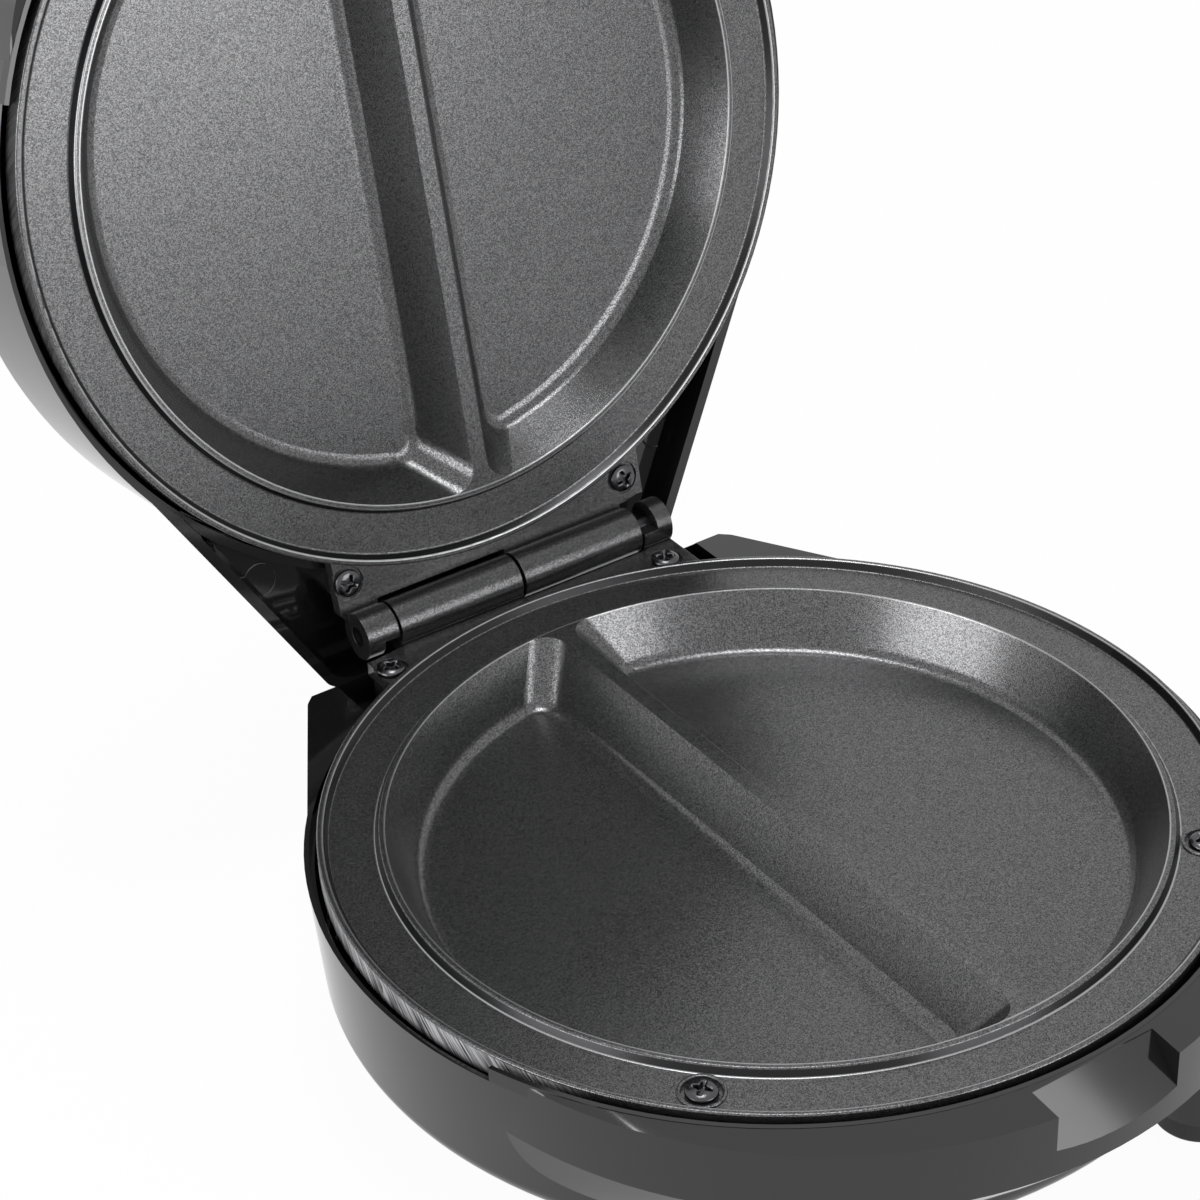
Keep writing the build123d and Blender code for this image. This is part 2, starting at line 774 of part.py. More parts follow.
def rear_slope():
    """The space above the lower casing's rear edge, which slopes down and is cut lower for the ears."""
    with BuildPart() as space:
        with BuildSketch(Plane.YZ):
            with BuildLine():
                Polyline(
                    (base_rear_y - base_slope_width, -side_rim_drop),
                    (base_rear_y, -side_rim_drop - base_slope_drop),
                    (2 * base_rear_y, -side_rim_drop - base_slope_drop),
                    (2 * base_rear_y, rim_height),
                    (base_rear_y - base_slope_width, rim_height),
                    close=True,
                )
            make_face()
        extrude(amount=casing_radius, both=True)
        with BuildSketch(Plane.XY.offset(-ear_back - knuckle_clearance)):
            with Locations((0, base_rear_y - recess_land)):
                Rectangle(hinge_well_width, 2 * recess_land, align=(Align.CENTER, Align.MIN))
        extrude(amount=ear_back)
    return space


# Lower casing
with BuildPart(lower) as base_housing:
    add(casing(*base_form))
    add(rear_well(base_draft, base_rear, hinge_well_width), mode=Mode.SUBTRACT)
    add(rear_tray(base_draft, base_rear, hinge_well_width))
    add(legs())
    add(bosses(base_floor, base_floor))
    add(posts(base_floor))
    add(pilot_holes(), mode=Mode.SUBTRACT)
    add(recess_block())
    add(front_recess(), mode=Mode.SUBTRACT)
    add(rear_slope(), mode=Mode.SUBTRACT)
    # Pad and hole for the cord inlet
    with BuildSketch(Plane(lower.origin + (0, base_rear_y, 0), x_dir=lower.x_dir, z_dir=-lower.y_dir)):
        with Locations((inlet_x, -inlet_drop)):
            Circle(inlet_pad_radius)
    extrude(amount=inlet_pad_length)
    with BuildSketch(Plane(lower.origin + (0, base_rear_y, 0), x_dir=lower.x_dir, z_dir=-lower.y_dir)):
        with Locations((inlet_x, -inlet_drop)):
            Circle(inlet_neck_radius + fit_clearance)
    extrude(amount=inlet_pad_length, mode=Mode.SUBTRACT)
    # Holes for the feet's stems
    with BuildSketch(lower.offset(-leg_drop)):
        with Locations(*front_feet_places, *rear_feet_places):
            Circle(foot_stem_radius + fit_clearance)
    extrude(amount=foot_stem_length + fit_clearance, mode=Mode.SUBTRACT)
    # Vent slots and the terminal block's pilot hole in the floor
    with BuildSketch(lower.offset(-base_depth)):
        with GridLocations(2 * vent_place, vent_pitch, 2, vent_count):
            SlotOverall(vent_length, vent_width)
    extrude(amount=casing_wall, mode=Mode.SUBTRACT)
    with Locations((block_x + block_length / block_ways / 2, block_y, -base_floor)):
        Cylinder(
            block_screw_radius + thread_clearance,
            casing_wall,
            align=(Align.CENTER, Align.CENTER, Align.MAX),
            mode=Mode.SUBTRACT,
        )
base_housing.part.label = "base_housing"
export_step(base_housing.part, "parts/base_housing.step")

# Upper casing
chin_inner_radius = chin_radius - casing_wall
handle_screw_x = handle_screw_spacing / 2
handle_screw_drop = handle_drop + handle_height / 2
handle_seat_y = -chin_shift - (chin_inner_radius**2 - (handle_screw_x + handle_screw_head_radius) ** 2) ** 0.5
upper_front = Plane(
    upper.from_local_coords((0, handle_seat_y, -handle_screw_drop)), x_dir=upper.x_dir, z_dir=-upper.y_dir
)
with BuildPart(upper) as lid_housing:
    add(casing(*lid_form))
    add(rear_well(lid_block_draft, lid_rear, 2 * casing_radius), mode=Mode.SUBTRACT)
    add(rear_tray(lid_block_draft, lid_rear, 2 * casing_radius))
    add(bosses(lid_floor, lid_block_depth - casing_wall))
    add(posts(lid_floor))
    add(pilot_holes(), mode=Mode.SUBTRACT)
    # Tubes round the lamps, and the lens holes
    with BuildSketch(upper.offset(-lid_floor)):
        with Locations(*lens_places):
            Circle(lamp_tube_radius + lamp_tube_wall)
            Circle(lamp_tube_radius, mode=Mode.SUBTRACT)
    extrude(amount=lamp_tube_height)
    with BuildSketch(upper.offset(-lid_depth)):
        with Locations(*lens_places):
            Circle(lens_radius + fit_clearance)
    extrude(amount=casing_wall, mode=Mode.SUBTRACT)
    # Holes for the handle's screws
    with BuildSketch(upper_front):
        with Locations((-handle_screw_x, 0), (handle_screw_x, 0)):
            Circle(handle_screw_radius + screw_hole_clearance)
    extrude(amount=2 * casing_wall, mode=Mode.SUBTRACT)
lid_housing.part.label = "lid_housing"
export_step(lid_housing.part, "parts/lid_housing.step")

# Cooking plates
with BuildPart(lower) as lower_plate:
    add(cooking_plate(hinge_shift, lower_left_ear, lower_right_ear, 0, lower_fixings))
lower_plate.part.label = "lower_plate"
export_step(lower_plate.part, "parts/lower_plate.step")

with BuildPart(upper) as upper_plate:
    add(cooking_plate(-hinge_shift, upper_left_ear, upper_right_ear, -90, clamp_fixings))
upper_plate.part.label = "upper_plate"
export_step(upper_plate.part, "parts/upper_plate.step")

# Hinge pin through the barrels and lugs of both plates
pin_start = hinge_shift - lug_outer + pin_recess
with BuildPart() as hinge_pin:
    with BuildSketch(Plane(lower.from_local_coords((pin_start, hinge_reach, hinge_rise)), z_dir=lower.x_dir)):
        Circle(pin_radius)
    extrude(amount=2 * (lug_outer - pin_recess))
    chamfer(hinge_pin.edges().filter_by(GeomType.CIRCLE), pin_recess)
hinge_pin.part.label = "hinge_pin"
export_step(hinge_pin.part, "parts/hinge_pin.step")

# Plate screws, four to each plate
plate_screw = pan_screw(screw_head_radius, screw_head_height, screw_shank_radius, screw_length)
plate_screw_places = [(x, y, -screw_seat_drop) for x, y in ear_screws + front_screws]
with BuildPart(lower) as lower_plate_screws:
    with Locations(*plate_screw_places):
        add(plate_screw)
lower_plate_screws.part.label = "lower_plate_screws"
export_step(lower_plate_screws.part, "parts/lower_plate_screws.step")

with BuildPart(upper) as upper_plate_screws:
    with Locations(*plate_screw_places):
        add(plate_screw)
upper_plate_screws.part.label = "upper_plate_screws"
export_step(upper_plate_screws.part, "parts/upper_plate_screws.step")

# Rubber feet with their stems pressed into the legs
with BuildPart() as foot:
    Cylinder(foot_radius, foot_height, align=(Align.CENTER, Align.CENTER, Align.MAX))
    fillet(foot.edges().group_by(Axis.Z)[0], foot_rounding)
    with Locations((0, 0, -foot_height)):
        Cylinder(
            foot_recess_radius,
            foot_recess_depth,
            align=(Align.CENTER, Align.CENTER, Align.MIN),
            mode=Mode.SUBTRACT,
        )
    Cylinder(foot_stem_radius, foot_stem_length, align=(Align.CENTER, Align.CENTER, Align.MIN))

with BuildPart(lower) as front_feet:
    with Locations(*[(x, y, -leg_drop) for x, y in front_feet_places]):
        add(foot)
front_feet.part.label = "front_feet"
export_step(front_feet.part, "parts/front_feet.step")

with BuildPart(lower) as rear_feet:
    with Locations(*[(x, y, -leg_drop) for x, y in rear_feet_places]):
        add(foot)
rear_feet.part.label = "rear_feet"
export_step(rear_feet.part, "parts/rear_feet.step")

# Heating elements on the backs of the plates
with BuildPart(lower) as lower_element:
    add(element())
lower_element.part.label = "lower_element"
export_step(lower_element.part, "parts/lower_element.step")

with BuildPart(upper) as upper_element:
    add(element())
upper_element.part.label = "upper_element"
export_step(upper_element.part, "parts/upper_element.step")

# Straps that clamp the elements, and their screws
clamp = strap(element_tube_radius + clamp_clearance, 2 * element_tube_radius)
with BuildPart(lower) as lower_element_clamps:
    with Locations(*clamp_places):
        add(clamp)
lower_element_clamps.part.label = "lower_element_clamps"
export_step(lower_element_clamps.part, "parts/lower_element_clamps.step")

with BuildPart(upper) as upper_element_clamps:
    with Locations(*clamp_places):
        add(clamp)
upper_element_clamps.part.label = "upper_element_clamps"
export_step(upper_element_clamps.part, "parts/upper_element_clamps.step")

with BuildPart(lower) as lower_clamp_screws:
    add(strap_screws(clamp_fixings))
lower_clamp_screws.part.label = "lower_clamp_screws"
export_step(lower_clamp_screws.part, "parts/lower_clamp_screws.step")

with BuildPart(upper) as upper_clamp_screws:
    add(strap_screws(clamp_fixings))
upper_clamp_screws.part.label = "upper_clamp_screws"
export_step(upper_clamp_screws.part, "parts/upper_clamp_screws.step")

# Sheet-metal heat shields between the plates and the casings
with BuildPart(lower) as lower_heat_shield:
    add(heat_shield())
lower_heat_shield.part.label = "lower_heat_shield"
export_step(lower_heat_shield.part, "parts/lower_heat_shield.step")

with BuildPart(upper) as upper_heat_shield:
    add(heat_shield())
upper_heat_shield.part.label = "upper_heat_shield"
export_step(upper_heat_shield.part, "parts/upper_heat_shield.step")

# Thermostat, pressed against the lower plate by its bracket
with BuildPart() as disc:
    Cylinder(thermostat_radius, thermostat_height, align=(Align.CENTER, Align.CENTER, Align.MAX))
    with Locations((0, 0, -thermostat_height)):
        Cylinder(
            thermostat_cap_radius, thermostat_cap_height, align=(Align.CENTER, Align.CENTER, Align.MAX)
        )
    with Locations(
        (0, -thermostat_tab_place, -thermostat_height), (0, thermostat_tab_place, -thermostat_height)
    ):
        Box(
            thermostat_tab_width,
            thermostat_tab_wall,
            thermostat_tab_length,
            align=(Align.CENTER, Align.CENTER, Align.MAX),
        )
with BuildPart(lower) as thermostat:
    with Locations(thermostat_place):
        add(disc)
thermostat.part.label = "thermostat"
export_step(thermostat.part, "parts/thermostat.step")

with BuildPart() as bracket:
    add(strap(thermostat_radius + fit_clearance, thermostat_height))
    with Locations((0, 0, -thermostat_height)):
        Cylinder(thermostat_cap_radius + fit_clearance, 3 * strap_wall, mode=Mode.SUBTRACT)
with BuildPart(lower) as thermostat_bracket:
    with Locations(thermostat_place):
        add(bracket)
thermostat_bracket.part.label = "thermostat_bracket"
export_step(thermostat_bracket.part, "parts/thermostat_bracket.step")

with BuildPart(lower) as thermostat_screws:
    add(strap_screws(thermostat_fixings))
thermostat_screws.part.label = "thermostat_screws"
export_step(thermostat_screws.part, "parts/thermostat_screws.step")

# Thermal fuse under its clip
with BuildPart(lower) as thermal_fuse:
    with Locations(fuse_place * Location((0, 0, -fuse_radius), (90, 0, 0))):
        Cylinder(fuse_radius, fuse_length)
        Cylinder(fuse_lead_radius, fuse_length + 2 * fuse_lead_length)
thermal_fuse.part.label = "thermal_fuse"
export_step(thermal_fuse.part, "parts/thermal_fuse.step")

with BuildPart(lower) as fuse_clip:
    with Locations(fuse_place):
        add(strap(fuse_radius + fit_clearance, 2 * fuse_radius))
fuse_clip.part.label = "fuse_clip"
export_step(fuse_clip.part, "parts/fuse_clip.step")

with BuildPart(lower) as fuse_clip_screws:
    add(strap_screws(fuse_fixings))
fuse_clip_screws.part.label = "fuse_clip_screws"
export_step(fuse_clip_screws.part, "parts/fuse_clip_screws.step")

# Terminal block on the floor of the rear block, with its fixing screw
way_pitch = block_length / block_ways
with BuildPart(lower) as terminal_block:
    with Locations((block_x, block_y, -base_floor)):
        Box(block_length, block_width, block_height, align=(Align.CENTER, Align.CENTER, Align.MIN))
    with Locations((block_x, block_y, block_height - base_floor)):
        with GridLocations(way_pitch, 1, block_ways, 1):
            Hole(block_wire_radius, depth=block_height / 2)
    with Locations(Location((block_x, block_y, block_height / 2 - base_floor), (90, 0, 0))):
        with GridLocations(way_pitch, 1, block_ways, 1):
            Cylinder(block_wire_radius, block_width, mode=Mode.SUBTRACT)
    with Locations((block_x + way_pitch / 2, block_y, block_height - base_floor)):
        Hole(block_screw_radius + screw_hole_clearance, depth=block_height)
terminal_block.part.label = "terminal_block"
export_step(terminal_block.part, "parts/terminal_block.step")

with BuildPart(lower) as terminal_block_screw:
    with Locations((block_x + way_pitch / 2, block_y, block_height - base_floor)):
        add(
            pan_screw(
                strap_head_radius,
                strap_head_height,
                block_screw_radius,
                block_height + casing_wall - fit_clearance,
            )
        )
terminal_block_screw.part.label = "terminal_block_screw"
export_step(terminal_block_screw.part, "parts/terminal_block_screw.step")

# Bush of the cord inlet, gripping the pad from both sides
inlet_start = Location((inlet_x, base_rear_y + inlet_flange_wall, -inlet_drop), (90, 0, 0))
inlet_length = inlet_pad_length + 2 * inlet_flange_wall
towards_front = (Align.CENTER, Align.CENTER, Align.MIN)
with BuildPart(lower) as cord_inlet:
    with Locations(inlet_start):
        Cylinder(inlet_flange_radius, inlet_flange_wall, align=towards_front)
        Cylinder(inlet_neck_radius, inlet_length, align=towards_front)
    with Locations(inlet_start * Location((0, 0, inlet_flange_wall + inlet_pad_length))):
        Cylinder(inlet_flange_radius, inlet_flange_wall, align=towards_front)
    with Locations(inlet_start):
        Cylinder(inlet_bore_radius, inlet_length, align=towards_front, mode=Mode.SUBTRACT)
cord_inlet.part.label = "cord_inlet"
export_step(cord_inlet.part, "parts/cord_inlet.step")

# Handle on the lid's chin: a narrow root over the front recess, then a wider rounded grip
with BuildPart() as grip:
    with BuildSketch(Plane.XY.offset(-handle_drop)) as plan:
        with BuildLine():
            Polyline(
                (-handle_root_width / 2, chin_front_y + handle_neck),
                (-handle_root_width / 2, chin_front_y - handle_neck),
                (-handle_tip_width / 2, chin_front_y - 2 * handle_neck),
                (-handle_tip_width / 2, chin_front_y - handle_reach),
                (handle_tip_width / 2, chin_front_y - handle_reach),
                (handle_tip_width / 2, chin_front_y - 2 * handle_neck),
                (handle_root_width / 2, chin_front_y - handle_neck),
                (handle_root_width / 2, chin_front_y + handle_neck),
                close=True,
            )
        make_face()
        fillet(plan.vertices().sort_by(Axis.Y)[:2], handle_corner)
    extrude(amount=-handle_height)
    fillet(grip.edges().group_by(Axis.Z)[0] + grip.edges().group_by(Axis.Z)[-1], handle_rounding)
    with Locations((0, -chin_shift, -handle_drop - handle_height / 2)):
        Cylinder(chin_radius, 2 * handle_height, mode=Mode.SUBTRACT)
    with Locations(
        Location((-handle_screw_x, handle_seat_y, -handle_screw_drop), (90, 0, 0)),
        Location((handle_screw_x, handle_seat_y, -handle_screw_drop), (90, 0, 0)),
    ):
        Cylinder(
            handle_screw_radius + thread_clearance,
            handle_screw_length + fit_clearance,
            align=towards_front,
            mode=Mode.SUBTRACT,
        )
with BuildPart(upper) as handle:
    add(grip)
handle.part.label = "handle"
export_step(handle.part, "parts/handle.step")

handle_screw = pan_screw(
    handle_screw_head_radius, handle_screw_head_height, handle_screw_radius, handle_screw_length
)
with BuildPart(upper_front) as handle_screws:
    with Locations(
        Location((-handle_screw_x, 0, 0), (180, 0, 0)), Location((handle_screw_x, 0, 0), (180, 0, 0))
    ):
        add(handle_screw)
handle_screws.part.label = "handle_screws"
export_step(handle_screws.part, "parts/handle_screws.step")

# Indicator lenses, pushed into the lid from inside, and the lamps in their sleeves behind them
with BuildPart() as lens:
    Cylinder(lens_flange_radius, lens_flange_wall, align=(Align.CENTER, Align.CENTER, Align.MIN))
    Cylinder(lens_radius, casing_wall + lens_proud, align=(Align.CENTER, Align.CENTER, Align.MAX))
    fillet(lens.edges().group_by(Axis.Z)[0], lens_proud)
with BuildPart(upper) as power_lens:
    with Locations((*lens_places[0], -lid_floor)):
        add(lens)
power_lens.part.label = "power_lens"
export_step(power_lens.part, "parts/power_lens.step")

with BuildPart(upper) as ready_lens:
    with Locations((*lens_places[1], -lid_floor)):
        add(lens)
ready_lens.part.label = "ready_lens"
export_step(ready_lens.part, "parts/ready_lens.step")

with BuildPart(upper) as indicator_lamps:
    with Locations(*[(x, y, lens_flange_wall - lid_floor) for x, y in lens_places]):
        Cylinder(lamp_radius, lamp_length, align=(Align.CENTER, Align.CENTER, Align.MIN))
indicator_lamps.part.label = "indicator_lamps"
export_step(indicator_lamps.part, "parts/indicator_lamps.step")

with BuildPart(upper) as lamp_sleeves:
    with BuildSketch(upper.offset(lens_flange_wall - lid_floor)):
        with Locations(*lens_places):
            Circle(lens_flange_radius)
            Circle(lamp_radius + fit_clearance, mode=Mode.SUBTRACT)
    extrude(amount=lamp_sleeve_length)
lamp_sleeves.part.label = "lamp_sleeves"
export_step(lamp_sleeves.part, "parts/lamp_sleeves.step")
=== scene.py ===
# %% [markdown]
# # A round omelette maker, standing open
#
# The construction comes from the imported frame: two moulded casings, two cast cooking plates, the
# hinge between them and everything inside. This notebook gives each of those pieces the finish it
# has on the real thing, adds the details that are too fine for the construction, and sets up the
# studio: camera, floor and light.

# %% Load the frame
import json
from math import cos, radians, sin

import bmesh
import bpy
import numpy as np
from mathutils import Matrix, Vector


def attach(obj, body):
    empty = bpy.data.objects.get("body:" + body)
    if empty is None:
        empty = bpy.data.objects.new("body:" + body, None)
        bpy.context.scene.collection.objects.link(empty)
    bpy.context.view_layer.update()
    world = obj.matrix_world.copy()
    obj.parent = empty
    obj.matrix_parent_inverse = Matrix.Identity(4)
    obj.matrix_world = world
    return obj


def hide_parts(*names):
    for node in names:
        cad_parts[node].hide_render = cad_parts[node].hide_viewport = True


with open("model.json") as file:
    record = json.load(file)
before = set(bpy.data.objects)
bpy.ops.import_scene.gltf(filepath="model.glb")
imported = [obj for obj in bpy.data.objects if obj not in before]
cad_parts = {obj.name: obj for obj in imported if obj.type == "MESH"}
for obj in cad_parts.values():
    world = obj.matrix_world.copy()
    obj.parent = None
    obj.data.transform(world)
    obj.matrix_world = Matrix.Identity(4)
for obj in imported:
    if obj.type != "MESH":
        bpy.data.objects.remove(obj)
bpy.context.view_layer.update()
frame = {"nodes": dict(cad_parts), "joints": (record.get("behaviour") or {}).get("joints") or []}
node = frame["nodes"]
MM = 0.001
print("pieces in the frame:", len(node))

# %% [markdown]
# ## Helpers
#
# Colours are given as sRGB hex values, but Blender calculates in linear light, so one
# function turns one into the other. A second one adds a node, sets its values and draws its links,
# and a few more stand for the sums that finishes use most. That keeps each material down to the
# lines that say something about the finish.

# %% Colour and node helpers
def paint(hex_value):
    """Linear colour of an sRGB hex value: each channel is decoded with the sRGB curve."""
    channels = [int(hex_value[i : i + 2], 16) / 255 for i in (1, 3, 5)]
    linear = [c / 12.92 if c <= 0.04045 else ((c + 0.055) / 1.055) ** 2.4 for c in channels]
    return (*linear, 1.0)


def add(tree, kind, inputs=None, **settings):
    """One node of this kind: each value in inputs is set on its socket, and outputs are linked."""
    made = tree.nodes.new(kind)
    for name, value in settings.items():
        setattr(made, name, value)
    for socket, value in (inputs or {}).items():
        if isinstance(value, bpy.types.NodeSocket):
            tree.links.new(value, made.inputs[socket])
        else:
            made.inputs[socket].default_value = value
    return made


def finish_named(name):
    """A new material, its tree and its shader, which is already linked to the output."""
    made = bpy.data.materials.new(name)
    made.use_nodes = True
    tree = made.node_tree
    tree.nodes.clear()
    shader = add(tree, "ShaderNodeBsdfPrincipled")
    add(tree, "ShaderNodeOutputMaterial", {"Surface": shader.outputs["BSDF"]})
    return made, tree, shader


def scaled(tree, value, factor):
    """The value times a factor, which is a number or an output too."""
    return add(tree, "ShaderNodeMath", {0: value, 1: factor}, operation="MULTIPLY").outputs[0]


def greater(tree, first, second):
    """The greater of two values."""
    return add(tree, "ShaderNodeMath", {0: first, 1: second}, operation="MAXIMUM").outputs[0]


def ranged(tree, value, low, high, low_from=0.0, high_from=1.0):
    """The value moved from one range to another and held at its ends."""
    span = {"From Min": low_from, "From Max": high_from, "To Min": low, "To Max": high}
    return add(tree, "ShaderNodeMapRange", {"Value": value, **span}).outputs["Result"]


def noise(tree, where, scale, detail):
    """Noise at a place; the scale is in cells per metre."""
    sockets = {"Vector": where, "Scale": scale, "Detail": detail}
    return add(tree, "ShaderNodeTexNoise", sockets).outputs["Fac"]


def dress(material, *names):
    """Gives the frame's pieces of these names one finish."""
    for name in names:
        piece = node[name]
        piece.data.materials.clear()
        piece.data.materials.append(material)
    print(material.name, "on", ", ".join(names))


# %% [markdown]
# ## Where the plates lie
#
# Both cooking plates are the same casting. The lower one lies level; the upper one is turned face
# down over it and then swung open about the hinge. Patterns such as the filed edge must follow each
# plate, so the places of both are worked out once, from the joint and from the plates' size.

# %% Places of the two plates
hinge_joint = frame["joints"][0]
hinge_point = Vector(hinge_joint["pos_m"])
open_angle = radians(hinge_joint["range_deg"][1])
plate_radius = 102.5 * MM
hinge_reach = 112.4 * MM
hinge_rise = 1.0 * MM
rim_height = hinge_point.z - hinge_rise
plates_y = hinge_point.y - hinge_reach
lower_place = Matrix.Translation((0, plates_y, rim_height))
hinge_axis = Matrix.Translation((0, hinge_point.y, hinge_point.z))
face_down = Matrix.Diagonal((-1, 1, -1, 1))
closed_upper = Matrix.Translation((0, plates_y, rim_height + 2 * hinge_rise)) @ face_down
swing = hinge_axis @ Matrix.Rotation(-open_angle, 4, "X") @ hinge_axis.inverted()
upper_place = swing @ closed_upper
print("lower plate at", tuple(round(c, 4) for c in lower_place.translation))
print("upper plate at", tuple(round(c, 4) for c in upper_place.translation))

# %% [markdown]
# ## Camera
#
# The picture was taken with a longer lens from the front left, about 33 degrees above the table,
# close enough that the appliance runs out of the frame. The camera's place and lens come from
# fitting circles to the plates' rims and the hinge. It is tilted very slightly.

# %% Camera
camera_place = Vector((-0.34142, plates_y - 0.45710, rim_height + 0.42965))
camera_target = Vector((-0.03134, plates_y + 0.0200, rim_height + 0.05604))
camera_roll = radians(-2.309)
camera_lens = 95.457

ahead = (camera_target - camera_place).normalized()
level_right = ahead.cross(Vector((0, 0, 1))).normalized()
level_up = level_right.cross(ahead)
camera_right = level_right * cos(camera_roll) + level_up * sin(camera_roll)
camera_up = level_up * cos(camera_roll) - level_right * sin(camera_roll)
camera_data = bpy.data.cameras.new("camera")
camera_data.lens = camera_lens
camera_data.sensor_width = 36.0
camera_data.clip_start = 0.01
camera = bpy.data.objects.new("camera", camera_data)
bpy.context.collection.objects.link(camera)
turn = Matrix((camera_right, camera_up, -ahead)).transposed()
camera.matrix_world = Matrix.Translation(camera_place) @ turn.to_4x4()
bpy.context.scene.camera = camera
print("camera", round((camera_place - camera_target).length, 3), "m from what it looks at")

# %% [markdown]
# ## Floor and light
#
# A product like this is photographed on a white sweep, in a room that is white all round. Glossy
# black shows nothing but what it reflects, so the white surroundings do most of the work: mirror
# rays see a world of strength 1, as the camera does, while the soft light that falls on the object
# is weaker. Three light boxes add what the white room alone doesn't: a bright line along every
# rounded edge, and a brighter side to each pocket wall.

# %% Floor
def floor_sheet(half_width):
    """A flat square on the table's level: x and y run over a small grid and z stays 0."""
    steps = np.linspace(-half_width, half_width, 3)
    x, y = np.meshgrid(steps, steps, indexing="ij")
    points = np.stack([x, y, np.zeros_like(x)], axis=-1).reshape(-1, 3)
    corner = np.array([0, 3, 4, 1])
    faces = [tuple(corner + 3 * i + j) for i in range(2) for j in range(2)]
    mesh = bpy.data.meshes.new("floor")
    mesh.from_pydata(points.tolist(), [], faces)
    made = bpy.data.objects.new("floor", mesh)
    bpy.context.collection.objects.link(made)
    return made


floor = floor_sheet(4.0)
bpy.context.scene.view_settings.view_transform = "Standard"


def sees_background(tree, in_mirrors=1.0):
    """1 for rays from the camera and through glass, this much for mirror rays, else 0."""
    rays = add(tree, "ShaderNodeLightPath").outputs
    mirror = scaled(tree, rays["Is Glossy Ray"], in_mirrors)
    clear = greater(tree, rays["Is Camera Ray"], rays["Is Transmission Ray"])
    return greater(tree, mirror, clear)


plain_share = 0.96
plain_in_mirrors = 0.8


def white_paper():
    """Matt paper, seen mostly as plain white; the small rest shows the object's shadow."""
    made, tree, shader = finish_named("white_paper")
    shader.inputs["Base Color"].default_value = paint("#f6f6f6")
    shader.inputs["Roughness"].default_value = 0.9
    shader.inputs["Specular IOR Level"].default_value = 0.0
    white = add(tree, "ShaderNodeEmission", {"Color": paint("#ffffff"), "Strength": 1.0})
    share = scaled(tree, sees_background(tree, plain_in_mirrors), plain_share)
    mixed = {0: share, 1: shader.outputs["BSDF"], 2: white.outputs["Emission"]}
    surface = add(tree, "ShaderNodeMixShader", mixed).outputs["Shader"]
    tree.links.new(surface, tree.nodes["Material Output"].inputs["Surface"])
    return made


floor.data.materials.append(white_paper())

soft_strength = 0.5
studio = bpy.data.worlds.new("studio")
studio.use_nodes = True
bpy.context.scene.world = studio
tree = studio.node_tree
tree.nodes.clear()
soft = add(tree, "ShaderNodeBackground", {"Color": paint("#ffffff"), "Strength": soft_strength})
plain = add(tree, "ShaderNodeBackground", {"Color": paint("#ffffff"), "Strength": 1.0})
room = {0: sees_background(tree), 1: soft.outputs["Background"], 2: plain.outputs["Background"]}
room_light = add(tree, "ShaderNodeMixShader", room).outputs["Shader"]
add(tree, "ShaderNodeOutputWorld", {"Surface": room_light})
print("white floor, room of strength", soft_strength)


# %% Light boxes
def light_box(name, place, target, width, height, power):
    """A flat light that faces its target: lengths in metres, power in watts."""
    data = bpy.data.lights.new(name, "AREA")
    data.shape = "RECTANGLE"
    data.size = width
    data.size_y = height
    data.energy = power
    made = bpy.data.objects.new(name, data)
    made.location = place
    made.rotation_euler = (Vector(target) - Vector(place)).to_track_quat("-Z", "Y").to_euler()
    bpy.context.collection.objects.link(made)


light_box("left_box", (-1.35, -0.05, 0.44), (0, 0, 0.08), 0.8, 0.7, 8.6)
light_box("front_box", (0.43, -1.50, 0.50), (0, -0.15, 0.05), 0.85, 0.85, 9.4)
light_box("top_box", (0.1, 0.2, 1.6), (0, 0, 0.1), 0.5, 0.5, 8.0)
print("three light boxes")

# %% [markdown]
# ## Glossy moulded ABS
#
# Both casings are injection-moulded ABS, dyed black and polished in the mould. The plastic itself
# sends almost no light back, so what the eye reads is the sharp reflection of the studio, with the
# faint waviness that a moulding keeps as it cools. A very low, wide noise bump gives that waviness,
# and a slightly uneven roughness stands for handling.

# %% Casing finish
def black_abs():
    """Dark base and low roughness, with waves 40 mm wide and hundredths of a millimetre high."""
    made, tree, shader = finish_named("black_abs")
    place = add(tree, "ShaderNodeTexCoord").outputs["Object"]
    wave = noise(tree, place, 25.0, 1.0)
    smear = noise(tree, place, 60.0, 4.0)
    rough = ranged(tree, smear, 0.05, 0.09)
    bump = add(tree, "ShaderNodeBump", {"Height": wave, "Strength": 0.05, "Distance": 1 * MM})
    shader.inputs["Base Color"].default_value = paint("#161617")
    shader.inputs["IOR"].default_value = 1.54
    tree.links.new(rough, shader.inputs["Roughness"])
    tree.links.new(bump.outputs["Normal"], shader.inputs["Normal"])
    return made


casing_finish = black_abs()
dress(casing_finish, "base_housing", "lid_housing")

# %% [markdown]
# ## Non-stick coating on cast aluminium
#
# The plates are die-cast aluminium, sprayed with a charcoal non-stick coating that carries fine
# metallic flecks, and then the sides of the outer edge are filed bare again so that the plate drops
# into its casing. The coating is satin: broad highlights on the fillets, and a fine sparkle where
# the flecks catch the light. Painted shade lies on the small slopes at rim and lip, and thin
# painted highlights along their edges. The filed sides are bright with short slanting scratches.

# %% Bands and rings on a plate
def in_plate_place(tree, place):
    """Object coordinates turned into a plate's own: z out of the cooking side, y to the hinge."""
    back = place.inverted()
    where = add(tree, "ShaderNodeTexCoord").outputs["Object"]
    turned = {"Vector": where, "Location": back.translation, "Rotation": back.to_euler()}
    return add(tree, "ShaderNodeMapping", turned).outputs["Vector"]


def band(tree, value, low, high, fade):
    """1 where the value lies between low and high, fading to 0 over a short way outside."""
    rise = ranged(tree, value, 0.0, 1.0, low - fade, low)
    fall = ranged(tree, value, 0.0, 1.0, high + fade, high)
    return scaled(tree, rise, fall)


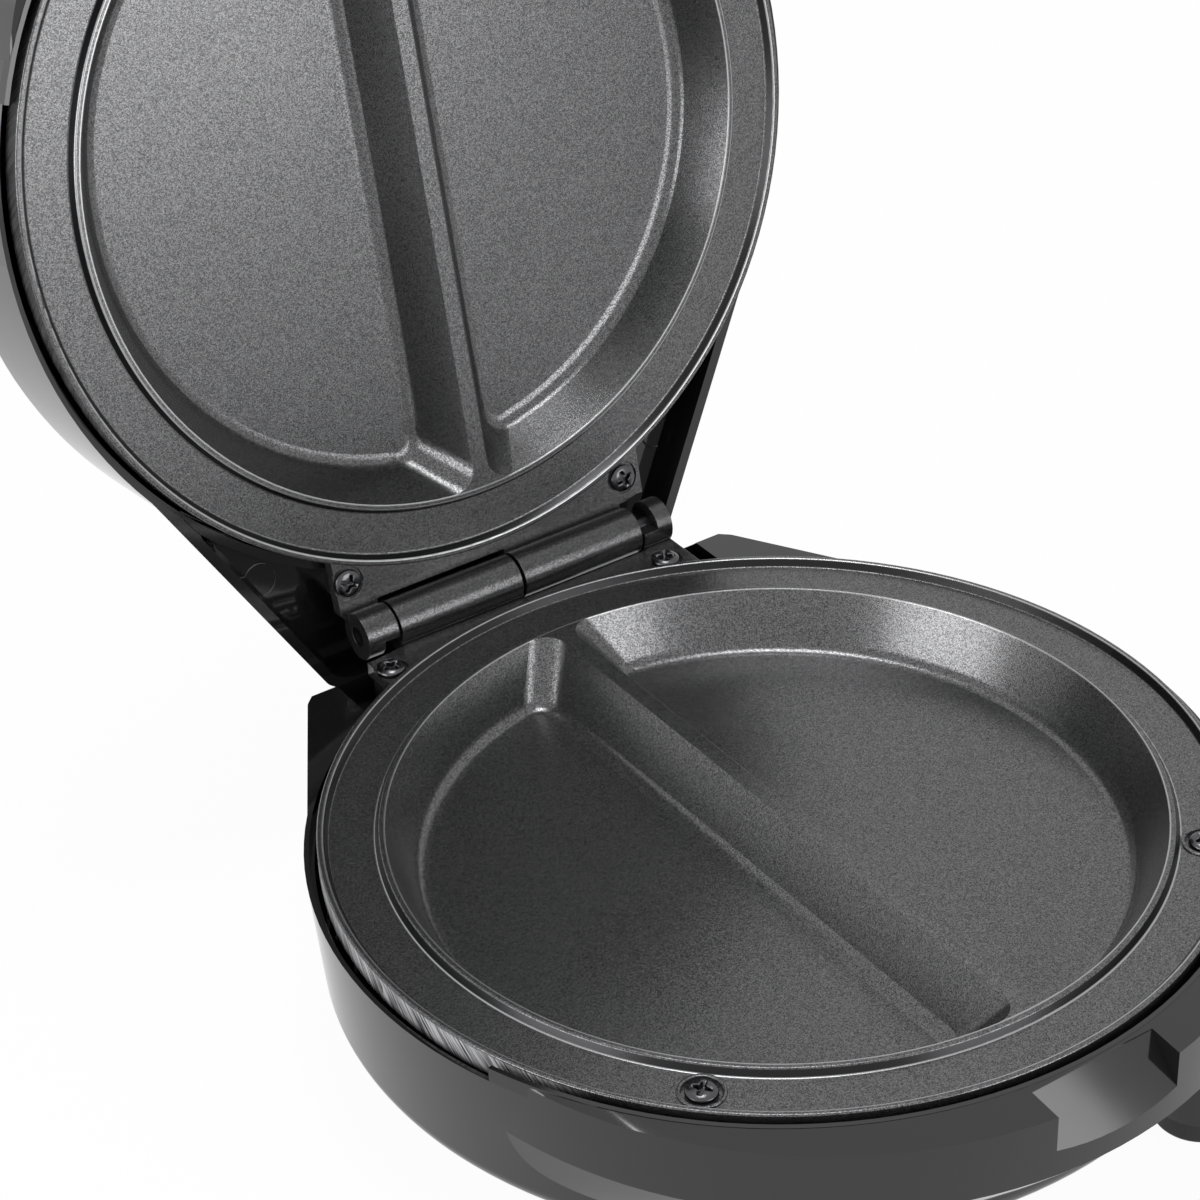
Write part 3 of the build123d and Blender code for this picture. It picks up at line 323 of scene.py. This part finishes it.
def rings(tree, radius, spans, fade):
    """1 on each ring between two distances from the plate's axis, given in mm, else 0."""
    each = [band(tree, radius, low * MM, high * MM, fade) for low, high in spans]
    total = each[0]
    for one in each[1:]:
        total = greater(tree, one, total)
    return total


def mixed_colour(tree, share, first, second):
    """Colour between two, each an output or a hex value: a Mix node has them on sockets 6 and 7."""
    given = {6: first, 7: second}
    colours = {socket: paint(c) if isinstance(c, str) else c for socket, c in given.items()}
    return add(tree, "ShaderNodeMix", {"Factor": share, **colours}, data_type="RGBA").outputs[2]


# %% Filed sides
filed_wall = (plate_radius - 0.15 * MM, plate_radius + 0.3 * MM)
filed_depth = (-6.2 * MM, -0.7 * MM)
filed_sides = (0.9 * plate_radius, 1.1 * plate_radius)
mark_width = 0.65 * MM
mark_stretch = 15
mark_shear = 0.8
mark_cut = (0.36, 0.64)


def filed_edge(tree, x, y, z, radius, filed_share):
    """Where the outer wall is filed bare, and the file's marks, which slant across it.

    The wall is a band in the distance from the plate's axis, and only its sides are filed. Along it
    runs the angle times the radius, and the marks are noise stretched across that and sheared by
    the height. The middle of the noise's range is spread to 0 and 1, so that the marks stand out.
    """
    wall = band(tree, radius, *filed_wall, fade=0.1 * MM)
    depth = band(tree, z, *filed_depth, fade=0.3 * MM)
    sideways = add(tree, "ShaderNodeMath", {0: x}, operation="ABSOLUTE").outputs[0]
    sides = band(tree, sideways, *filed_sides, fade=6 * MM)
    bare = scaled(tree, scaled(tree, scaled(tree, wall, depth), sides), filed_share)
    angle = add(tree, "ShaderNodeMath", {0: y, 1: x}, operation="ARCTAN2").outputs[0]
    run = scaled(tree, angle, plate_radius)
    slant = {0: z, 1: mark_shear, 2: run}
    sheared = add(tree, "ShaderNodeMath", slant, operation="MULTIPLY_ADD").outputs[0]
    across = scaled(tree, z, 1 / mark_stretch)
    along = add(tree, "ShaderNodeCombineXYZ", {"X": sheared, "Y": across}).outputs["Vector"]
    marks = noise(tree, along, 1 / mark_width, 4.0)
    return bare, ranged(tree, marks, 0.0, 1.0, *mark_cut)


# %% Coating of both plates
fleck_size = 0.22 * MM
edge_rounding = 0.2 * MM
slope_fade = 0.1 * MM
line_fade = 0.12 * MM
barrels = (hinge_reach - 6 * MM, hinge_reach + 7 * MM)
barrel_darkening = 0.4
coated_roughness, filed_roughness = 0.25, 0.5
coated_metallic, filed_metallic = 0.84, 0.3
# Painted shade: darker rings on the slopes at lip and rim, radii in mm.
painted_slope_shade = [(88.75, 89.5), (100.05, 100.95)]
# Painted highlights: thin light lines along the rounded edges, placed differently on each plate.
lower_painted_highlights = [(87.2, 87.5), (89.6, 89.85), (101.05, 101.35)]
upper_painted_highlights = [(87.2, 87.5), (88.3, 88.6), (101.0, 101.3)]


def coat_colour(tree, where, y, radius, painted_highlights):
    """Flecks, then darker barrels and painted slope shade, then painted edge highlights."""
    flecks = add(tree, "ShaderNodeTexVoronoi", {"Vector": where, "Scale": 1 / fleck_size})
    fleck = add(tree, "ShaderNodeSeparateColor", {"Color": flecks.outputs["Color"]}).outputs["Red"]
    coat = mixed_colour(tree, fleck, "#383839", "#757576")
    hinge_end = scaled(tree, band(tree, y, *barrels, fade=0.5 * MM), barrel_darkening)
    coat = mixed_colour(tree, hinge_end, coat, "#1c1c1d")
    # Painted shade on the slopes of lip and rim.
    coat = mixed_colour(tree, rings(tree, radius, painted_slope_shade, slope_fade), coat, "#272728")
    # Painted highlights as thin light lines along the rounded edges.
    return mixed_colour(tree, rings(tree, radius, painted_highlights, line_fade), coat, "#9c9c9d")


def fleck_coating(name, place, painted_highlights, filed_share):
    """Charcoal satin coat with a fine grain; the filed wall is bare aluminium."""
    made, tree, shader = finish_named(name)
    where = add(tree, "ShaderNodeTexCoord").outputs["Object"]
    inside = in_plate_place(tree, place)
    x, y, z = add(tree, "ShaderNodeSeparateXYZ", {"Vector": inside}).outputs
    flat = add(tree, "ShaderNodeCombineXYZ", {"X": x, "Y": y}).outputs["Vector"]
    radius = add(tree, "ShaderNodeVectorMath", {0: flat}, operation="LENGTH").outputs["Value"]
    bare, marks = filed_edge(tree, x, y, z, radius, filed_share)
    coat = coat_colour(tree, where, y, radius, painted_highlights)
    filed = mixed_colour(tree, marks, "#2c2c2e", "#dadadc")
    grain = noise(tree, where, 1 / fleck_size, 1.0)
    edge = add(tree, "ShaderNodeBevel", {"Radius": edge_rounding}, samples=6)
    height = add(tree, "ShaderNodeMix", {"Factor": bare, "A": grain, "B": marks})
    relief = {"Height": height.outputs["Result"], "Strength": 0.3, "Distance": 0.03 * MM}
    bump = add(tree, "ShaderNodeBump", {**relief, "Normal": edge.outputs[0]})
    tree.links.new(mixed_colour(tree, bare, coat, filed), shader.inputs["Base Color"])
    rough = ranged(tree, bare, coated_roughness, filed_roughness)
    tree.links.new(rough, shader.inputs["Roughness"])
    metal = ranged(tree, bare, coated_metallic, filed_metallic)
    tree.links.new(metal, shader.inputs["Metallic"])
    tree.links.new(bump.outputs["Normal"], shader.inputs["Normal"])
    return made


lower_coating = fleck_coating("lower_fleck_coating", lower_place, lower_painted_highlights, 1.0)
upper_coating = fleck_coating("upper_fleck_coating", upper_place, upper_painted_highlights, 0.3)
dress(lower_coating, "lower_plate")
dress(upper_coating, "upper_plate")

# %% [markdown]
# ## Screws, feet and fittings
#
# The small parts have plain finishes: black phosphate on the plate screws, bright zinc on the
# hidden ones, oiled steel for the pin, moulded rubber for the feet and the cord bush.

# %% Small finishes
def plain_metal(name, colour, roughness, grain_mm):
    """A metal whose roughness varies with a noise of the given grain."""
    made, tree, shader = finish_named(name)
    place = add(tree, "ShaderNodeTexCoord").outputs["Object"]
    grain = noise(tree, place, 1000 / grain_mm, 3.0)
    rough = ranged(tree, grain, roughness * 0.7, roughness * 1.4)
    bump = add(tree, "ShaderNodeBump", {"Height": grain, "Strength": 0.2, "Distance": 0.1 * MM})
    shader.inputs["Base Color"].default_value = paint(colour)
    shader.inputs["Metallic"].default_value = 1.0
    tree.links.new(rough, shader.inputs["Roughness"])
    tree.links.new(bump.outputs["Normal"], shader.inputs["Normal"])
    return made


def plain_moulding(name, colour, roughness, grain_mm):
    """A non-metal with a fine moulded grain."""
    made, tree, shader = finish_named(name)
    place = add(tree, "ShaderNodeTexCoord").outputs["Object"]
    grain = noise(tree, place, 1000 / grain_mm, 4.0)
    rough = ranged(tree, grain, roughness * 0.8, roughness * 1.2)
    bump = add(tree, "ShaderNodeBump", {"Height": grain, "Strength": 0.3, "Distance": 0.05 * MM})
    shader.inputs["Base Color"].default_value = paint(colour)
    tree.links.new(rough, shader.inputs["Roughness"])
    tree.links.new(bump.outputs["Normal"], shader.inputs["Normal"])
    return made


black_phosphate = plain_metal("black_phosphate", "#525254", 0.2, 0.6)
dress(plain_metal("oiled_steel", "#3a3a3c", 0.3, 0.4), "hinge_pin")
dress(
    plain_metal("bright_zinc", "#c3c5c6", 0.28, 0.5),
    "lower_clamp_screws",
    "upper_clamp_screws",
    "thermostat_screws",
    "fuse_clip_screws",
    "terminal_block_screw",
    "handle_screws",
)
strap_finish = plain_metal("aluminised_sheet", "#c8c8ca", 0.4, 2.0)
dress(strap_finish, "lower_element_clamps", "upper_element_clamps")
pan_finish = plain_metal("aluminised_pan", "#c0c1c3", 0.35, 3.0)
dress(pan_finish, "lower_heat_shield", "upper_heat_shield")
dress(plain_metal("aluminised_clip", "#c8c8ca", 0.4, 1.5), "thermostat_bracket", "fuse_clip")
dress(plain_metal("heated_sheath", "#6d6862", 0.5, 1.0), "lower_element", "upper_element")
dress(plain_moulding("moulded_rubber", "#141415", 0.55, 0.4), "front_feet", "rear_feet")
dress(plain_moulding("bush_rubber", "#161617", 0.6, 0.5), "cord_inlet", "lamp_sleeves")
dress(plain_moulding("satin_phenolic", "#121213", 0.38, 0.5), "handle")
dress(plain_moulding("brown_phenolic", "#3a241a", 0.45, 0.4), "thermostat")
dress(plain_moulding("fired_ceramic", "#d3ccbe", 0.5, 0.3), "thermal_fuse")
dress(plain_moulding("block_moulding", "#d9d5cb", 0.45, 0.4), "terminal_block")


def clear_moulding(name, colour):
    """A dyed clear plastic: light passes through it and takes its colour."""
    made, tree, shader = finish_named(name)
    place = add(tree, "ShaderNodeTexCoord").outputs["Object"]
    wave = noise(tree, place, 600.0, 1.0)
    bump = add(tree, "ShaderNodeBump", {"Height": wave, "Strength": 0.08, "Distance": 0.2 * MM})
    shader.inputs["Base Color"].default_value = paint(colour)
    shader.inputs["Roughness"].default_value = 0.06
    shader.inputs["IOR"].default_value = 1.49
    shader.inputs["Transmission Weight"].default_value = 0.75
    tree.links.new(bump.outputs["Normal"], shader.inputs["Normal"])
    return made


dress(clear_moulding("clear_red", "#c8201a"), "power_lens")
dress(clear_moulding("clear_green", "#1f9a3a"), "ready_lens")
dress(clear_moulding("lamp_glass", "#f2e6d8"), "indicator_lamps")

# %% [markdown]
# ## Plate screws
#
# Eight pan-head screws hold the plates. On the real ones the cross recess has sloping flanks and
# runs out before the edge of the head, which the plain slots of the construction don't show. The
# whole screw is one surface round its axis: a profile of radius and height is turned through a
# full circle, and the recess is a dip in the height, worked out at each point of the head.

# %% Surface of a screw
screw_head_radius = 3.5 * MM
screw_head_height = 1.9 * MM
screw_head_fall = 0.8 * MM
screw_head_rim = 0.12 * MM
screw_seat = -2.4 * MM
recess_depth = 1.4 * MM
arm_half_width = 0.8 * MM
arm_taper = 0.1
arm_flank = 0.35 * MM
arm_reach = 2.4 * MM
arm_rise = 0.8 * MM
hub_radius = 1.2 * MM
hub_flank = 0.4 * MM

# Radius and height in mm, from the edge of the head down to the blunt point.
screw_tail = [(3.44, 1.02), (3.5, 0.9), (3.5, 0.08), (3.42, 0.0)]
screw_tail += [(1.75, 0.0), (1.75, -8.0), (1.75, -15.0), (0.9, -16.0), (0.0, -16.0)]


def full_turn(steps):
    """Evenly spaced angles of one full turn, without the last, which is the first again."""
    return np.linspace(0, 2 * np.pi, steps + 1)[:-1]


def cross_dip(x, y):
    """Depth of the cross recess: two arms at right angles, deepest in the middle.

    An arm narrows outwards, its flank slopes down over a short way, and its floor rises from the
    middle to nothing at the arm's reach. A round hub joins the arms.
    """
    def arm(along, across):
        half_width = arm_half_width - arm_taper * np.abs(along)
        flank = np.clip((half_width - np.abs(across)) / arm_flank, 0, 1)
        floor_rise = np.clip((arm_reach - np.abs(along)) / arm_rise, 0, 1)
        return flank * floor_rise

    hub = np.clip((hub_radius - np.hypot(x, y)) / hub_flank, 0, 1)
    return recess_depth * np.maximum(np.maximum(arm(x, y), arm(y, x)), hub)


def screw_surface():
    """Points (ring, turn, xyz) of one screw with its seat at z = 0.

    The head's height falls with the fourth power of the radius, less the cross dip; then the rim
    drops to the seat, and the shank runs down to a blunt point.
    """
    turn = full_turn(96)
    head = np.linspace(0.0, 1.0, 64) ** 0.9 * (screw_head_radius - screw_head_rim)
    tail_radius, tail_height = np.array(screw_tail).T * MM
    radius = np.concatenate([head, tail_radius])[:, None]
    x = radius * np.cos(turn)
    y = radius * np.sin(turn)
    z = screw_head_height - screw_head_fall * (radius / screw_head_radius) ** 4 - cross_dip(x, y)
    z[len(head):] = tail_height[:, None]
    return np.stack([x, y, z], axis=-1)


print("one screw has", screw_surface().shape[0], "rings")

# %% Meshes from grids of points
def wrapped_grid(name, points, material, places):
    """A mesh from grids of points that close round their second direction, one grid per place."""
    rows, turns, _ = points.shape
    i, j = np.meshgrid(np.arange(rows - 1), np.arange(turns), indexing="ij")
    across = (j + 1) % turns
    here, below = i * turns, (i + 1) * turns
    quads = np.stack([here + j, below + j, below + across, here + across], axis=-1)
    quads = quads.reshape(-1, 4)
    flat = points.reshape(-1, 3)
    placed = [flat @ np.array(place.to_3x3()).T + np.array(place.translation) for place in places]
    corners = np.concatenate([quads + k * len(flat) for k in range(len(places))])
    mesh = bpy.data.meshes.new(name)
    mesh.from_pydata(np.concatenate(placed).tolist(), [], corners.tolist())
    mesh.materials.append(material)
    made = bpy.data.objects.new(name, mesh)
    bpy.context.collection.objects.link(made)
    seamless(made)
    return made


def seamless(piece):
    """Merges the points that meet at poles, turns the faces outwards and shades them smooth."""
    work = bmesh.new()
    work.from_mesh(piece.data)
    bmesh.ops.remove_doubles(work, verts=work.verts, dist=0.001 * MM)
    bmesh.ops.dissolve_degenerate(work, edges=work.edges, dist=0.0005 * MM)
    bmesh.ops.recalc_face_normals(work, faces=work.faces)
    for face in work.faces:
        face.smooth = True
    work.to_mesh(piece.data)
    work.free()


# %% Eight plate screws
ear_screw_x = 40.3 * MM
ear_screw_y = hinge_reach - 13.1 * MM
front_screw_radius = plate_radius - 7.6 * MM
front_screw_angle = radians(45.7)
front_x = front_screw_radius * sin(front_screw_angle)
front_y = -front_screw_radius * cos(front_screw_angle)
ear_spots = [(-ear_screw_x, ear_screw_y), (ear_screw_x, ear_screw_y)]
front_spots = [(-front_x, front_y), (front_x, front_y)]
screw_turns = [20, 64, 38, 81]


def plate_screws(node_name, body, place):
    """Four screws of one plate, each turned as a hand left it."""
    spots = [
        place @ Matrix.Translation((x, y, screw_seat)) @ Matrix.Rotation(radians(turn), 4, "Z")
        for (x, y), turn in zip(ear_spots + front_spots, screw_turns)
    ]
    made = wrapped_grid(node_name + "_turned", screw_surface(), black_phosphate, spots)
    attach(made, body)
    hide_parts(node_name)
    print(made.name, len(made.data.polygons), "faces")


plate_screws("lower_plate_screws", "base", lower_place)
plate_screws("upper_plate_screws", "lid", upper_place)

# %% [markdown]
# ## Cast pads
#
# Round each front screw the casting stands a little proud of the flange, as a low ring with a
# flat top. Its outline, radius and height in mm, is turned round the screw's axis; its foot lies
# just below the flange, so that no gap shows.

# %% Cast pads round the front screws
pad_outline = [(4.32, -0.1), (4.32, 0.35), (4.45, 0.45), (5.0, 0.45), (5.1, 0.4), (5.3, -0.1)]
flange_level = -1.8 * MM


def screw_pads(name, body, place, material):
    """Low rings on the flange round both front screws of a plate, as one piece."""
    turn = full_turn(96)
    outline = np.array(pad_outline + pad_outline[:1]) * MM
    radius, height = outline[:, :1], outline[:, 1:] + 0 * turn
    points = np.stack([radius * np.cos(turn), radius * np.sin(turn), height], axis=-1)
    spots = [place @ Matrix.Translation((x, y, flange_level)) for x, y in front_spots]
    made = wrapped_grid(name, points, material, spots)
    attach(made, body)
    print(made.name, len(made.data.polygons), "faces")


screw_pads("lower_screw_pads", "base", lower_place, lower_coating)
screw_pads("upper_screw_pads", "lid", upper_place, upper_coating)

# %% [markdown]
# ## Marks of the mould in the lid
#
# In the sunk corner behind the lid's plate the moulding shows how it was made: three fine ribs in
# the narrow tip, and the round witness of an ejector. Each is a half-round bead about two tenths
# of a millimetre high, carried along a short line or round a circle.

# %% Beads on the lid's recess floor
recess_floor = -12 * MM
bead_width = 0.5 * MM
bead_height = 0.22 * MM
ejector_radius = 4.2 * MM

# Places in mm from the plate's axis, x to the side and y to the hinge.
rib_starts = [(78.2, 70.6), (77.1, 72.5), (76.0, 74.4)]
rib_stops = [(67.0, 82.6), (66.6, 84.1), (66.2, 85.6)]
ejector_centre = (58.2, 94.9)


def bead(path, closed):
    """A half-round bead along a path: across it runs a half circle, squashed to the bead's height.

    Each end of an open bead sinks into the floor, because its size fades with the sine of the way
    along the path.
    """
    if closed:
        after, before = np.roll(path, -1, axis=0), np.roll(path, 1, axis=0)
        size = np.ones(len(path))
    else:
        after = np.vstack([path[1:], 2 * path[-1] - path[-2]])
        before = np.vstack([2 * path[0] - path[1], path[:-1]])
        size = np.sin(np.linspace(0, np.pi, len(path))) ** 0.3 + 0.02
    run = after - before
    side = np.stack([-run[:, 1], run[:, 0], np.zeros(len(run))], axis=-1)
    side /= np.linalg.norm(side, axis=1)[:, None]
    turn = full_turn(16)
    offset = side[:, None, :] * np.cos(turn)[None, :, None] * bead_width / 2
    lift = np.array([0, 0, 1.0]) * np.sin(turn)[None, :, None] * bead_height
    return path[:, None, :] + (offset + lift) * size[:, None, None]


def floor_point(side, x, y):
    """A point of the recess floor: x and y in mm from the plate's axis, x to the given side."""
    return np.array([side * x * MM, y * MM, recess_floor])


def rib(side, start, stop):
    """An open bead along the straight line between two places of the recess floor."""
    first, last = floor_point(side, *start), floor_point(side, *stop)
    return bead(first + (last - first) * np.linspace(0, 1, 24)[:, None], closed=False)


def ejector_ring(side):
    """The ejector's witness as a bead round a circle, whose last row is the first again."""
    turn = full_turn(72)
    circle = np.stack([np.cos(turn), np.sin(turn), np.zeros_like(turn)], axis=-1)
    points = bead(floor_point(side, *ejector_centre) + ejector_radius * circle, closed=True)
    return np.vstack([points, points[:1]])


def mould_marks():
    """Ribs and ejector ring on both sides of the lid's recess, as one piece."""
    made_of = []
    for side in (-1, 1):
        for start, stop in zip(rib_starts, rib_stops):
            points = rib(side, start, stop)
            made_of.append(wrapped_grid("rib", points, casing_finish, [upper_place]))
        made_of.append(wrapped_grid("ring", ejector_ring(side), casing_finish, [upper_place]))
    with bpy.context.temp_override(active_object=made_of[0], selected_editable_objects=made_of):
        bpy.ops.object.join()
    marks = made_of[0]
    marks.name = "lid_mould_marks"
    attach(marks, "lid")
    print(marks.name, len(marks.data.polygons), "faces")


mould_marks()
